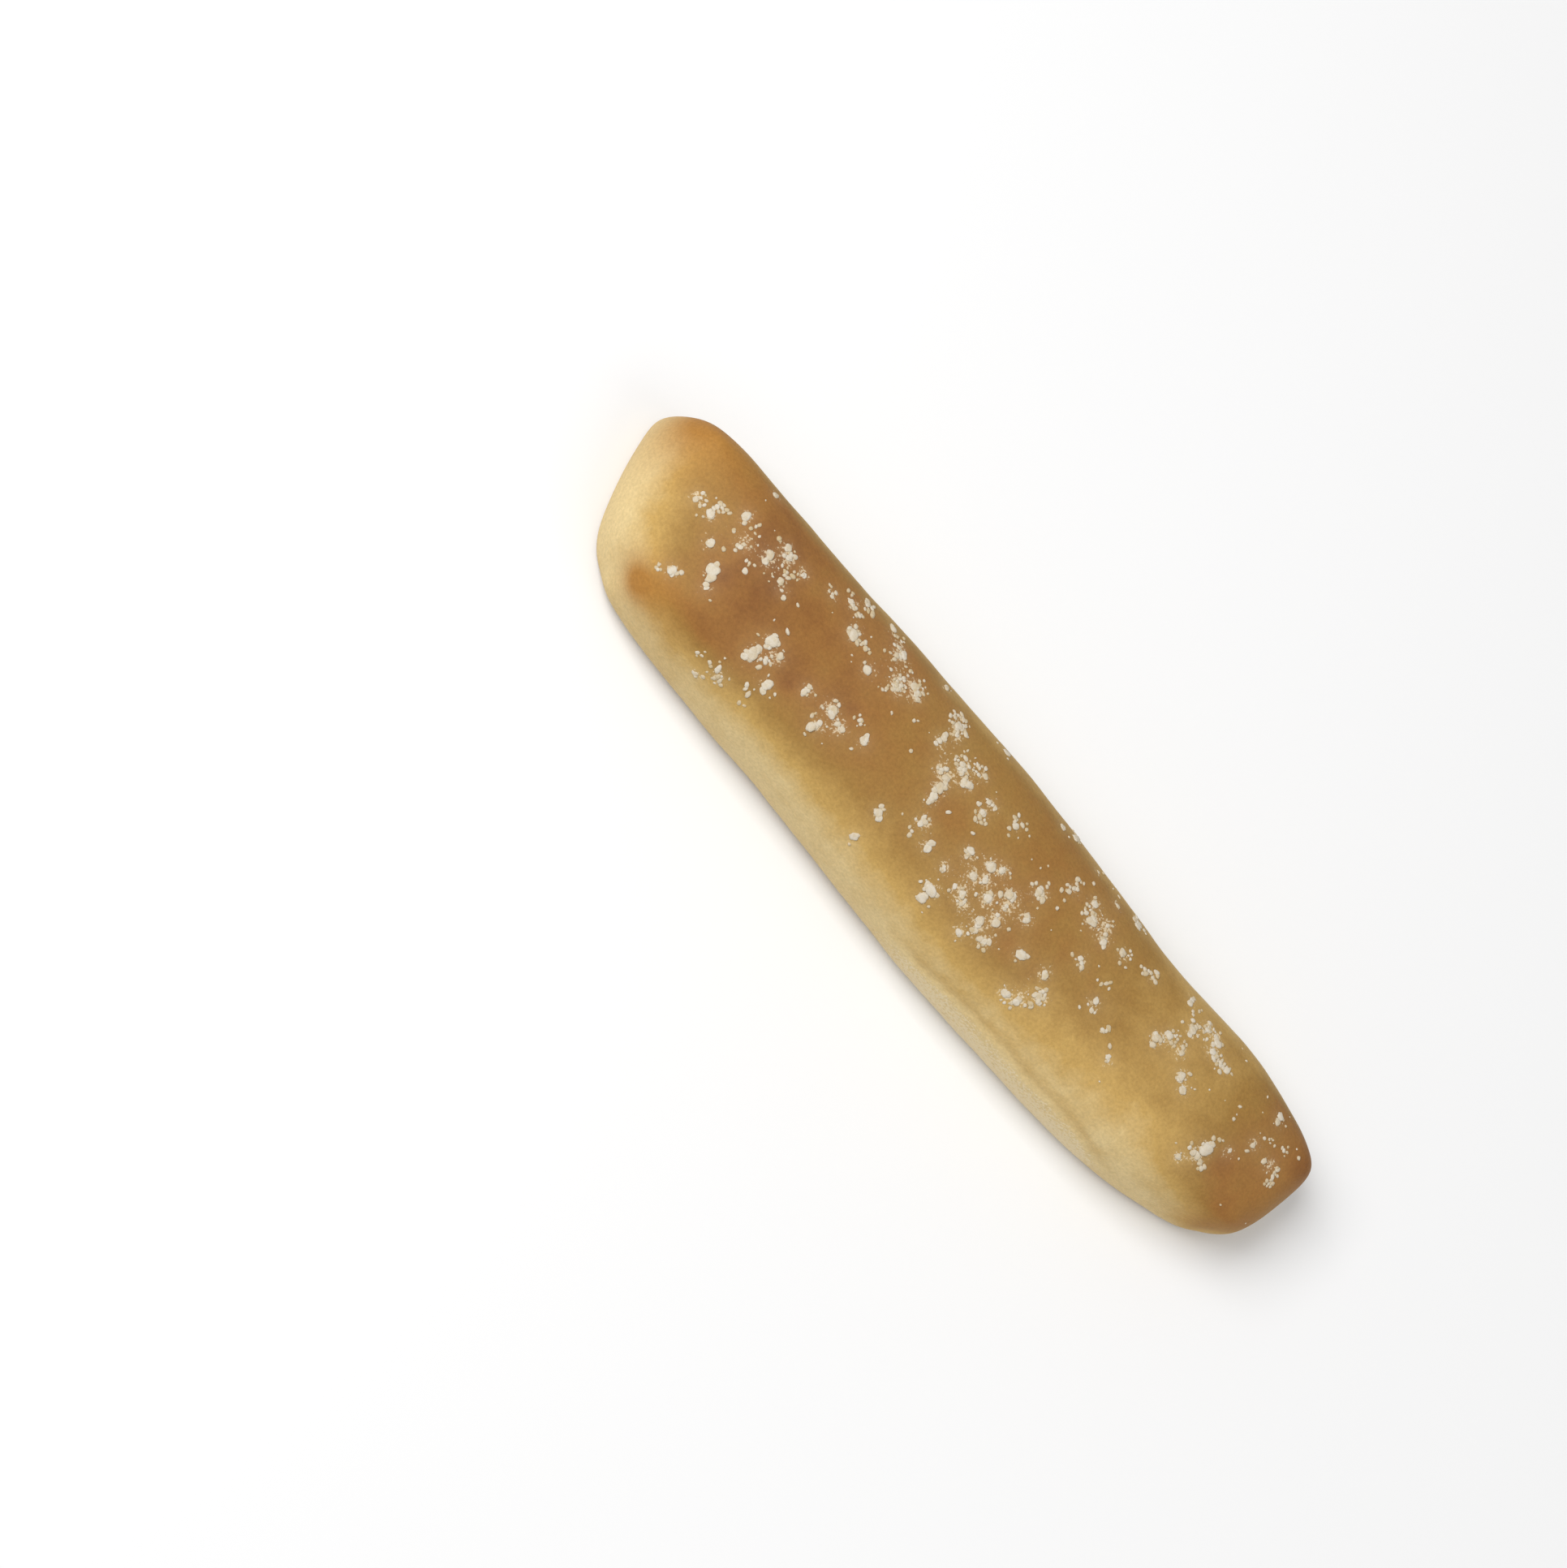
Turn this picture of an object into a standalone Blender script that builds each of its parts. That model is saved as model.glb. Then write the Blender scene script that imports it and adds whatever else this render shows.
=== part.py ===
"""A thick floured breadstick, baked from one strip of dough.

The strip was cut from a sheet of dough, so it is wider than it is high, with a nearly flat top,
swollen flanks and a blunt cut at each end. It lies on its flat baked base. +X runs along the strip,
+Y across it, +Z up, and the origin is at the middle of the base.
"""

import math

import bmesh
import bpy
from mathutils import Matrix, Vector

# Driving dimensions, in metres.
LENGTH = 0.1515
WIDTH = 0.0325
HEIGHT = 0.0215
WIDEST_LEVEL = 0.40  # where the flanks stand out most, as a share of the height
SHOULDER_POWER = 2.5  # how square the section is above that level
FOOT_POWER = 4.5  # and below it
BASE_CUT = 0.0006  # how much of the rounded underside the flat base takes off

# The outline in plan: a place along the strip, from -1 at the left end to 1 at the right, and how
# far the front (-Y) and back (+Y) flanks stand out there, as shares of half the width.
PLAN_STATIONS = (
    (-1.00, 0.86, 0.89),
    (-0.90, 0.92, 0.90),
    (-0.72, 0.98, 0.90),
    (-0.50, 0.99, 0.925),
    (-0.34, 0.98, 0.985),
    (0.05, 1.02, 1.03),
    (0.50, 0.93, 0.955),
    (0.70, 0.84, 1.03),
    (0.88, 0.62, 0.965),
    (1.00, 0.47, 0.83),
)
# Height of the top at a place along the strip, as a share of the full height.
HEIGHT_STATIONS = (
    (-1.00, 0.86),
    (-0.85, 0.96),
    (-0.45, 0.99),
    (0.05, 1.00),
    (0.45, 0.97),
    (0.75, 0.96),
    (0.90, 0.89),
    (1.00, 0.80),
)

# The cut ends. Each rolls over from the top on its crown, leans out down to its base, swells in
# its middle, and has its front corner behind its back one by the skew. It turns into the flanks on
# a radius that grows from the top edge down to the base, wider at the front than at the back.
LEFT_END = {
    "crown": 0.0092,
    "lean": 0.0038,
    "swell": 0.0028,
    "skew": 0.0100,
    "top_turn": 0.006,
    "front_turn": 0.0075,
    "back_turn": 0.006,
}
RIGHT_END = {
    "crown": 0.0062,
    "lean": 0.0018,
    "swell": 0.0012,
    "skew": 0.0046,
    "top_turn": 0.0035,
    "front_turn": 0.0065,
    "back_turn": 0.0040,
}
CROWN_POWER = 2.0  # how square the roll from the top into an end is
END_POWER = 2.5  # how closely the roll, lean, swell and skew of a cut keep to its end

# The top corners of each end, which the cutter pinched.
PINCH_REACH = 0.0070
PINCH_OUT = 0.0004

# Cells of the cage along the strip, across it and up it.
CELLS_LONG = 36
CELLS_WIDE = 8
CELLS_HIGH = 6

CRUST_COLOUR = (0.45, 0.27, 0.10, 1.0)
CRUST_ROUGHNESS = 0.75


def clear_scene():
    for thing in list(bpy.data.objects):
        bpy.data.objects.remove(thing)


def between(stations, place, column):
    """Reads a value from a table of stations, on a smooth curve through them (Catmull-Rom)."""
    places = [station[0] for station in stations]
    values = [station[column] for station in stations]
    last = len(stations) - 1
    here = sum(place > other for other in places[1:last])
    before, after = max(here - 1, 0), min(here + 2, last)
    span = places[here + 1] - places[here]
    share = (place - places[here]) / span
    slope_in = (values[here + 1] - values[before]) / (places[here + 1] - places[before])
    slope_out = (values[after] - values[here]) / (places[after] - places[here])
    cube, square = share**3, share**2
    return (
        (2 * cube - 3 * square + 1) * values[here]
        + (cube - 2 * square + share) * slope_in * span
        + (3 * square - 2 * cube) * values[here + 1]
        + (cube - square) * slope_out * span
    )


def rounded(first, second, power):
    """Moves a point of a square, which runs from -1 to 1 both ways, into a rounded square."""
    outermost = max(abs(first), abs(second))
    if outermost == 0:
        return first, second
    shrink = outermost / (abs(first) ** power + abs(second) ** power) ** (1 / power)
    return first * shrink, second * shrink


def shaped(along, across, up):
    """Where a point of the cage goes. Each argument runs from -1 to 1, and up is -1 at the base."""
    end = LEFT_END if along < 0 else RIGHT_END
    outward = math.copysign(1, along)
    near_end = abs(along) ** END_POWER
    up += near_end * (math.sin(up * math.pi / 2) - up)  # evens the cells round the crown
    side, lift = rounded(across, up, SHOULDER_POWER if up > 0 else FOOT_POWER)

    top = HEIGHT * between(HEIGHT_STATIONS, along, 1) + BASE_CUT
    widest = WIDEST_LEVEL * top
    z = widest + lift * (top - widest if lift > 0 else widest)
    depth = 1 - z / top  # 0 at the top, 1 at the base
    z = max(z - BASE_CUT, 0.0)

    half_width = WIDTH / 2 * between(PLAN_STATIONS, along, 1 if side < 0 else 2)
    base_turn = end["front_turn" if side < 0 else "back_turn"]
    x, y = turned(along, side, half_width, end["top_turn"] + depth * (base_turn - end["top_turn"]))

    rolled = 1 - (1 - max(lift, 0.0) ** CROWN_POWER) ** (1 / CROWN_POWER)
    x -= outward * near_end * end["crown"] * rolled
    x += outward * near_end * end["lean"] * depth
    x += outward * near_end * end["swell"] * (1 - side**2) * (1 - lift**2)
    x -= outward * near_end * end["skew"] * (1 - side) / 2
    return Vector((x, y, z))


def turned(along, side, half_width, radius):
    """A point's place in plan, where the corners between the flanks and the ends have a radius."""
    x, y = along * LENGTH / 2, side * half_width
    past_x = (abs(x) - LENGTH / 2 + radius) / radius
    past_y = (abs(y) - half_width + radius) / radius
    if past_x > 0 and past_y > 0:
        past_x, past_y = (past - turn for past, turn in zip((past_x, past_y), rounded(past_x, past_y, 2)))
        x -= math.copysign(past_x * radius, x)
        y -= math.copysign(past_y * radius, y)
    return x, y


def pinched(point):
    """Draws the top corners of both ends out into small points."""
    moved = point.copy()
    for end in (-1, 1):
        for side in (-1, 1):
            reach = (point - shaped(end, side, 1)).length / PINCH_REACH
            moved += Vector((end, side, 0.3)).normalized() * PINCH_OUT * math.exp(-(reach**2))
    return moved


def cut_edges(mesh, axis, cells):
    """Cuts every edge that runs along one axis into equal cells."""
    edges = []
    for edge in mesh.edges:
        run = edge.verts[1].co - edge.verts[0].co
        if abs(run[axis]) > 0.9 * run.length:
            edges.append(edge)
    bmesh.ops.subdivide_edges(mesh, edges=edges, cuts=cells - 1, use_grid_fill=True)


def make_breadstick(collection):
    mesh = bmesh.new()
    bmesh.ops.create_cube(mesh, size=2.0)
    for axis, cells in enumerate((CELLS_LONG, CELLS_WIDE, CELLS_HIGH)):
        cut_edges(mesh, axis, cells)
    for vert in mesh.verts:
        vert.co = pinched(shaped(*vert.co))
    data = bpy.data.meshes.new("breadstick")
    mesh.to_mesh(data)
    mesh.free()
    stick = bpy.data.objects.new("breadstick", data)
    collection.objects.link(stick)
    soften = stick.modifiers.new("Soften", "SUBSURF")
    soften.levels = 1
    soften.render_levels = 1
    data.shade_smooth()
    return stick


def stand_on_origin(stick):
    """Centres the finished shape over the origin, with its base at height zero."""
    bpy.context.view_layer.update()
    finished = stick.evaluated_get(bpy.context.evaluated_depsgraph_get())
    points = [vert.co.copy() for vert in finished.to_mesh().vertices]
    finished.to_mesh_clear()
    low = Vector([min(point[axis] for point in points) for axis in range(3)])
    high = Vector([max(point[axis] for point in points) for axis in range(3)])
    middle = (low + high) / 2
    stick.data.transform(Matrix.Translation((-middle.x, -middle.y, -low.z)))


def crust_material():
    material = bpy.data.materials.new("baked_crust")
    material.use_nodes = True
    shader = material.node_tree.nodes["Principled BSDF"]
    shader.inputs["Base Color"].default_value = CRUST_COLOUR
    shader.inputs["Roughness"].default_value = CRUST_ROUGHNESS
    shader.inputs["Metallic"].default_value = 0.0
    return material


def main():
    clear_scene()
    collection = bpy.data.collections.new("breadstick")
    bpy.context.scene.collection.children.link(collection)
    stick = make_breadstick(collection)
    stick.data.materials.append(crust_material())
    stand_on_origin(stick)


if __name__ == "__main__":
    main()
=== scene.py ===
"""A grissini breadstick: a stick of pinched dough, baked golden, with clumps and grains of flour on it."""

import math
import random

import bmesh
import bpy
import numpy as np
from bpy.props import FloatProperty, FloatVectorProperty, IntProperty, PointerProperty
from mathutils import Matrix, Vector, noise
from mathutils.bvhtree import BVHTree


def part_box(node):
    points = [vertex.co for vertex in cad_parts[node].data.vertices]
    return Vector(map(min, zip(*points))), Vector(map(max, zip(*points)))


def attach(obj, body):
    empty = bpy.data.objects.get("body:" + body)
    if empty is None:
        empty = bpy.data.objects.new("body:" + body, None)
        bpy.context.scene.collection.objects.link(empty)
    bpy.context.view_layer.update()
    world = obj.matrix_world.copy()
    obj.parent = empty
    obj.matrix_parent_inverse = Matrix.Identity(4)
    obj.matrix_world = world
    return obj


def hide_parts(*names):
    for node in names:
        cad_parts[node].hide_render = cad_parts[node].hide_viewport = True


bl_info = {
    "name": "Grissini Breadstick",
    "version": (1, 0, 0),
    "blender": (4, 5, 0),
    "location": "View3D > Sidebar > Breadstick",
    "description": "Builds a floured breadstick: its crust, the flour on it and a plain studio",
    "category": "Add Mesh",
}

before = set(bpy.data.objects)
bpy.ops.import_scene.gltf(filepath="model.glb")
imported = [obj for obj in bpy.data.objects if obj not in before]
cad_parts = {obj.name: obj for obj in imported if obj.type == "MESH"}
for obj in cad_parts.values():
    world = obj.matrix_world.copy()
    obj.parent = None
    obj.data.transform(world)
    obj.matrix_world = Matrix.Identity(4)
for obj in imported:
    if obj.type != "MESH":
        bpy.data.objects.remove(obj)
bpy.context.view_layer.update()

MM = 0.001
NODE = "breadstick"
BODY = "root"
LOW, HIGH = (Vector(corner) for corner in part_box(NODE))
MIDDLE = (LOW + HIGH) / 2
FLOOR_GAP = 0.02 * MM

# Places on the crust are given along and across the stick, in mm from its middle, as seen from the stage's
# eye.

# How brown the top of the crust is along the stick: a place on the X axis in mm, and a share from 0, pale, to
# 1, dark.
BROWNING = (
    (-77, 0.22), (-74, 0.38), (-71, 0.58), (-67, 0.70), (-61, 0.80), (-57, 0.88), (-53, 0.90), (-47, 0.83),
    (-40, 0.80), (-27, 0.77), (-19, 0.68), (-13, 0.63), (-3, 0.64), (9, 0.74), (21, 0.66), (33, 0.56),
    (45, 0.48), (53, 0.51), (58, 0.58), (62, 0.70), (68, 0.75), (76, 0.68),
)

# Where fingers or the heat marked the crust: along, across and reach, in mm, then how much browner and how
# much ambered.
MARKS = (
    (-73, 12, 9, 0, 1.1), (-67.5, 7, 5, 0.12, 0), (-62.3, -11.4, 4, 0, 1), (-58.8, -9.2, 3.6, 0.12, 0.5),
    (-54.5, -12.5, 5, 0, 0.25), (69.5, 2, 6, 0.02, 0.45), (67, -6.5, 5, 0.22, 0.5),
    (69.5, 10, 3.8, 0.22, 0.15),
)

# The crease along the front flank, with a floury skirt of dough under it: a place on the X axis and the
# crease's height there, in mm.
CREASE = ((-6, 9), (8, 10.4), (15, 11.8), (36, 12), (43, 11.3), (54, 7.5))

# Shallow hollows beside the clumps, with shade painted in them: along, across, reach and depth, in mm.
HOLLOWS = (
    (61.5, 0.5, 3.0, 0.35), (-5.5, 3.0, 3.5, 0.25), (-27, 1.5, 3.0, 0.2), (-36, -3.5, 3.0, 0.22),
    (-55, -2, 3.2, 0.3), (21, -4.5, 3.0, 0.2), (15.5, -2.5, 2.6, 0.2), (-24, 11, 2.6, 0.15),
)

# The clumps of flour: along, across, length and width, in mm, turn in degrees, and how closely the crumbs
# lie, up to 1.
CLUMPS = (
    (-59, 7.5, 2.2, 1.6, 40, 1), (-56, 4.5, 2.9, 1.1, 70, 0.8), (-62.5, 3.5, 2.1, 1.5, 60, 0.9),
    (-66, 3.5, 1.9, 1.0, -35, 0.7), (-59.5, 0.5, 2.3, 1.0, 0, 1), (-56, -1.5, 3.7, 2.2, -62, 1),
    (-54.5, -4, 2.2, 1.5, -30, 0.7), (-60, -6.5, 2.4, 1.7, -45, 0.8), (-52, 6, 2.4, 1.9, -80, 0.6),
    (-47, 4.5, 3.9, 1.2, -38, 0.7), (-50, 8.5, 1.8, 1.1, -70, 0.9), (-58.5, 13, 1.7, 1.2, 60, 0.8),
    (-42, -1.5, 3.2, 2.2, 80, 1), (-42.5, -5, 3.2, 2.1, 85, 1), (-39.5, -2.5, 2.4, 1.2, -75, 0.6),
    (-37.5, -6.5, 2.9, 1.5, -80, 0.9), (-45.5, -13.5, 2.2, 1.3, -45, 0.9), (-43, -11, 3.5, 1.3, -20, 0.4),
    (-35, 8.5, 2.2, 2.2, 0, 0.9), (-28, 12, 2.6, 1.7, 60, 0.8), (-29.5, 7, 2.1, 1.3, 0, 0.7),
    (-24.5, 8.5, 2.9, 1.5, 20, 0.8), (-22, 10, 2.2, 1.1, -5, 0.8), (-33, -2, 2.9, 1.2, -75, 0.9),
    (-28.5, -1, 2.7, 1.7, -30, 0.8), (-28, -4.5, 2.6, 1.8, 60, 0.8), (-25.5, -2, 3.6, 1.5, 0, 0.6),
    (-21.5, -0.5, 3.4, 1.6, -60, 0.85), (-14.5, 8.5, 3.7, 1.2, 88, 0.95), (-13.5, 11, 2.2, 1.3, -40, 0.8),
    (-11, 6, 1.8, 1.1, -60, 0.8), (-7, 7.5, 2.4, 1.6, 30, 0.9), (-2, 8.5, 2.9, 1.4, -5, 0.7),
    (-9, 4, 2.7, 1.7, 65, 1), (-8.5, 2, 2.7, 1.3, -75, 1), (-6.5, -1, 2.2, 1.3, 70, 0.9),
    (-3.5, -3, 2.7, 1.7, 70, 0.55), (-12, -5.5, 2.9, 1.6, -55, 1), (-11.5, -10.5, 1.6, 1.5, 0, 1),
    (2, -6.8, 3.2, 2.4, 0, 0.9), (2, -8.5, 2.2, 1.9, 90, 1), (1.2, 1.2, 2.8, 1.4, -80, 0.85),
    (5, 2.5, 2.4, 1.9, -10, 1), (6.5, 3.5, 1.7, 1.2, 80, 1), (6, 0.5, 1.7, 1.2, -75, 1),
    (4.5, -0.5, 1.5, 1.3, 0, 1), (5, -3.5, 3.8, 1.4, 0, 0.6), (6.5, -4.5, 2.2, 0.9, -80, 1),
    (0.5, -3, 2.1, 0.9, -85, 0.9), (8.5, -1, 1.9, 1.2, 85, 1), (10.5, 2, 2.7, 1.5, -10, 1),
    (11, 0.5, 1.9, 1.2, -80, 0.8), (11.5, -2, 2.7, 1.6, -65, 0.7), (10.5, -4.5, 3.2, 1.8, -80, 0.8),
    (13, -5.5, 2.7, 1.8, 40, 0.8), (9.5, -7.5, 2.1, 1.2, 0, 1), (14.5, 1.5, 2.4, 1.3, -35, 1),
    (12.5, 5.5, 3.2, 1.5, -80, 0.9), (18, -2.5, 2.9, 1.9, 28, 1), (21, -8, 2.0, 1.4, 10, 1),
    (23, -7, 2.8, 1.5, 70, 0.9), (25, -4.3, 3.0, 1.6, 20, 0.6), (22.5, -1.5, 1.7, 1.2, -75, 1),
    (24, 8.5, 3.4, 1.3, -48, 0.9), (21, 9, 1.6, 1.3, 0, 1), (30.5, 1.5, 3.2, 1.1, -62, 0.7),
    (38.5, -2.5, 2.4, 1.0, -38, 0.8), (39.5, 13, 2.7, 1.3, 85, 0.9), (43, 10.2, 3.2, 1.6, 80, 0.95),
    (46.5, 12, 2.6, 1.5, -20, 0.9), (47.5, 10.5, 3.2, 1.3, -50, 1), (40.5, 5.3, 3.4, 1.5, -70, 1),
    (49, 3.5, 1.6, 1.3, 85, 0.95), (61.5, 11.8, 2.4, 1.4, -80, 0.7), (66, 6.2, 4.2, 1.6, 5, 0.5),
    (62, 6.5, 2.2, 1.0, -60, 0.8), (58, 0.5, 3.2, 2.4, 80, 1), (58, -1.2, 2.7, 1.2, 5, 1),
    (56.5, -3.5, 2.2, 1.0, -45, 0.8), (60.5, 2.8, 1.8, 1.4, 0, 0.5), (19, 11, 1.8, 1.1, -65, 1),
    (-31.8, 13.7, 1.3, 1.0, 0, 0.8), (-20, 14.2, 1.5, 0.8, 0, 0.5), (-7, 15.1, 1.2, 1.0, 0, 0.8),
    (7.2, 14.6, 1.6, 1.1, 0, 0.9), (15.6, 14.4, 0.9, 0.7, 0, 0.7), (21.3, 13.4, 1.3, 0.9, 0, 0.8),
)

# Patches of lace, where small crumbs hang together in chains: along, across, length and width, in mm, and
# how many crumbs.
LACE = (
    (-57, 5, 13, 8, 25), (-50, 5.5, 8, 4.5, 8), (-66, 3.5, 5, 3.5, 6), (-60.5, -7, 4.5, 3, 7),
    (-42, -11, 12, 6.5, 25), (-42, -3, 7, 7, 8), (-29.5, 10.5, 15, 7.5, 28), (-27.5, -1.5, 12, 8, 18),
    (-11, 8.5, 8, 10, 14), (-7, -2.5, 7, 5, 6), (4.5, 0, 8, 9, 5), (11.5, -2, 9, 12, 8),
    (22.5, -5, 10, 8, 20), (22, 9.5, 8, 6, 12), (32, 2, 11, 7, 12), (45, 11.5, 11, 5.5, 20),
    (42, 4.5, 7, 5, 6), (58, 0, 5.5, 8, 16), (65, 7.5, 11, 8, 24),
)

# How far a place is browner or paler than its slope makes it: added to the slope, which is 1 on level crust.
LEAN = {
    "far edge": 0.16,
    "right face": 0.45,
    "right end": 0.13,
    # Painted shade: the next entry browns the front flank near the left end.
    "left shoulder shade": 0.23,
    "left front": -0.10,
    "right front": -0.16,
}
CROWN_POWER = 1.7  # how fast the browning fades as the crust slopes away

# Browning that is added for itself, and painted shade, as shares from pale to dark.
BAKED_AND_SHADED = {
    "least": 0.05,
    "left face": -0.12,
    "left foot": 0.16,
    # Painted shade low on the front flank near the left end.
    "front foot shade": 0.08,
    # Painted shade just above the crease.
    "crease": 0.13,
    # Painted shade in the hollows, with some browning, by their depth.
    "hollow": 0.467,
    "patches": 0.04,
    "mottle": 0.03,
    "underneath": 0.55,
}

# How much fine flour lies in each kind of place, as the amount that the crust's material reads.
FILM = {
    "underneath": 0.25,
    "top": 0.02,
    "flank": 0.16,
    "skirt": 0.30,
    "clump": 0.24,
    "crowd": 0.055,
}
CLUMP_REACH = 1.4  # mm, how far a clump's own fine flour lies round it
CROWD_REACH = 3  # mm, how far it counts towards a crowd of clumps
LACE_CROWD = 1.5  # what a patch of lace counts for, in clumps
FULL_CROWD = 3.3  # past this, more clumps bring no more fine flour

# Where in the noise each unevenness is read, so that no two are alike.
NOISE_AT = {"swell": 3.7, "ripple": 9.1, "ragged": 5.2, "frayed": 2.4, "patches": 1.3, "mottle": 6.6}

# Three values for chance to pick from are the least, the most and the usual one.
CRUMB_SIZES = (0.5, 1.4, 0.8)  # shares of the usual width of a crumb
CORE_SHARE = 0.42  # the radius of a close clump's big crumb, as a share of the clump's width
FULLNESS = 0.9  # the crumbs' area in a close clump, as a share of its length times its width
CRUMB_POWER = 3  # how square a crumb is from the side
CRUMB_LUMPS = ((0.34, 0.9), (0.15, 0.38))  # depth and size of its lumps, as shares of its radius
LACE_RADII = (0.14, 0.46, 0.24)  # mm
CHAIN_CHANCE = 0.6  # how often a crumb of lace lies beside an earlier one
CHAIN_MEMORY = 4  # how many earlier ones it can lie beside
CHAIN_STEP = (0.55, 1.0)  # mm
COARSE_RADII = (0.20, 0.42)  # mm, and the least is the usual one too
FINE_RADII = (0.13, 0.22)  # mm, likewise
GRAINS_BY_CLUMPS = 0.58  # share of the loose grains
GRAINS_ON_TOP = 0.16  # share too, and the rest lie on the far side
FAR_CLUMPS = 30

# How toasted the crumbs of each piece are: the least and the most.
TOASTING = {"flour_clumps": (0.05, 0.55), "flour_lace": (0.1, 0.95), "flour_grains": (0.15, 0.85)}


class CrustSettings(bpy.types.PropertyGroup):
    """Sizes and colours of the crust"""

    fineness: FloatProperty(
        name="Fineness",
        description="Spacing of the crust's points",
        default=0.42 * MM,
        min=0.2 * MM,
        unit="LENGTH",
    )
    swell_depth: FloatProperty(
        name="Swell depth",
        description="Height of the broad swells in the dough",
        default=0.24 * MM,
        unit="LENGTH",
    )
    swell_size: FloatProperty(
        name="Swell size", description="Width of the broad swells", default=13 * MM, unit="LENGTH"
    )
    ripple_depth: FloatProperty(
        name="Ripple depth", description="Height of the small ripples", default=0.07 * MM, unit="LENGTH"
    )
    ripple_size: FloatProperty(
        name="Ripple size", description="Width of the small ripples", default=4.5 * MM, unit="LENGTH"
    )
    skirt_swell: FloatProperty(
        name="Skirt swell", description="How far the floury skirt swells", default=0.20 * MM, unit="LENGTH"
    )
    crease_depth: FloatProperty(
        name="Crease depth", description="Depth of the crease above it", default=0.07 * MM, unit="LENGTH"
    )
    pale: FloatVectorProperty(
        name="Pale", description="Least baked colour", default=(0.675, 0.515, 0.252), subtype="COLOR", max=1
    )
    straw: FloatVectorProperty(
        name="Straw", description="Lightly baked colour", default=(0.505, 0.32, 0.098), subtype="COLOR", max=1
    )
    golden: FloatVectorProperty(
        name="Golden", description="Well baked colour", default=(0.320, 0.177, 0.044), subtype="COLOR", max=1
    )
    brown: FloatVectorProperty(
        name="Brown",
        description="Strongly baked colour",
        default=(0.288, 0.130, 0.032),
        subtype="COLOR",
        max=1,
    )
    amber: FloatVectorProperty(
        name="Amber",
        description="Colour of the amber spots",
        default=(0.39, 0.182, 0.038),
        subtype="COLOR",
        max=1,
    )
    dark: FloatVectorProperty(
        name="Dark",
        description="Colour where the heat caught it",
        default=(0.190, 0.070, 0.020),
        subtype="COLOR",
        max=1,
    )


class FlourSettings(bpy.types.PropertyGroup):
    """Sizes and colours of the flour"""

    colour: FloatVectorProperty(
        name="Colour", description="Colour of the flour", default=(0.635, 0.57, 0.462), subtype="COLOR", max=1
    )
    dust: FloatVectorProperty(
        name="Dust",
        description="Colour of the thinnest flour",
        default=(0.79, 0.675, 0.47),
        subtype="COLOR",
        max=1,
    )
    toasted: FloatVectorProperty(
        name="Toasted",
        description="Colour of toasted flour",
        default=(0.53, 0.41, 0.235),
        subtype="COLOR",
        max=1,
    )
    crumb: FloatProperty(
        name="Crumb", description="Usual width of a crumb in a clump", default=1.08 * MM, unit="LENGTH"
    )
    flatness: FloatProperty(
        name="Flatness",
        description="Height of a crumb as a share of its width",
        default=0.21,
        subtype="FACTOR",
    )
    coarse_grains: IntProperty(
        name="Coarse grains", description="Loose grains that show singly", default=110, min=0
    )
    fine_grains: IntProperty(name="Fine grains", description="Loose grains like dust", default=110, min=0)
    seed: IntProperty(name="Seed", description="Picks another scatter of the same kind", default=7)


class StageSettings(bpy.types.PropertyGroup):
    """The floor, the light and where the stick is looked at from"""

    floor: FloatVectorProperty(
        name="Floor", description="Colour of the floor", default=(0.86, 0.86, 0.86), subtype="COLOR", max=1
    )
    key_power: FloatProperty(
        name="Key power", description="Power of the main light", default=7.8, unit="POWER"
    )
    fill_power: FloatProperty(
        name="Fill power", description="Power of the weak light", default=1.4, unit="POWER"
    )
    key_place: FloatVectorProperty(
        name="Key place",
        description="Where the main light stands, on the left",
        default=(-0.57, -0.12, 0.76),
        subtype="TRANSLATION",
        unit="LENGTH",
    )
    fill_place: FloatVectorProperty(
        name="Fill place",
        description="Where the weak light stands, on the right",
        default=(0.55, -0.15, 0.50),
        subtype="TRANSLATION",
        unit="LENGTH",
    )
    light_size: FloatProperty(
        name="Light size", description="Width of each light", default=0.55, unit="LENGTH"
    )
    ambient: FloatProperty(name="Ambient", description="Strength of the light from all round", default=0.39)
    distance: FloatProperty(
        name="Distance", description="From the eye to the stick", default=0.8, unit="LENGTH"
    )
    front_tilt: FloatProperty(
        name="Front tilt",
        description="How far the eye leans to the front",
        default=math.radians(22),
        unit="ROTATION",
    )
    left_tilt: FloatProperty(
        name="Left tilt",
        description="How far the eye leans to the left end",
        default=math.radians(15),
        unit="ROTATION",
    )
    turn: FloatProperty(
        name="Turn",
        description="How far the stick slopes across the view",
        default=math.radians(50.6),
        unit="ROTATION",
    )
    view_width: FloatProperty(
        name="View width", description="Width of what is seen at the stick", default=0.2353, unit="LENGTH"
    )
    right_shift: FloatProperty(
        name="Right shift",
        description="The stick's place, right of the view's middle",
        default=0.02608,
        unit="LENGTH",
    )
    down_shift: FloatProperty(
        name="Down shift",
        description="The stick's place, below the view's middle",
        default=0.01011,
        unit="LENGTH",
    )


def smoothstep(low, high, value):
    """0 up to low, 1 from high, and a smooth rise between."""
    share = np.clip((value - low) / (high - low), 0, 1)
    return share * share * (3 - 2 * share)


def wander(points, size, place=0.0):
    """Smooth noise from -1 to 1 at each point, in lumps about as wide as size."""
    return np.array([noise.noise(Vector(point) / size + Vector((place, -place, place))) for point in points])


def points_of(mesh):
    """The mesh's points and their normals, as two arrays."""
    points = np.empty(len(mesh.vertices) * 3)
    mesh.vertices.foreach_get("co", points)
    normals = np.empty(len(mesh.vertices) * 3)
    mesh.vertex_normals.foreach_get("vector", normals)
    return points.reshape(-1, 3), normals.reshape(-1, 3)


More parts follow.
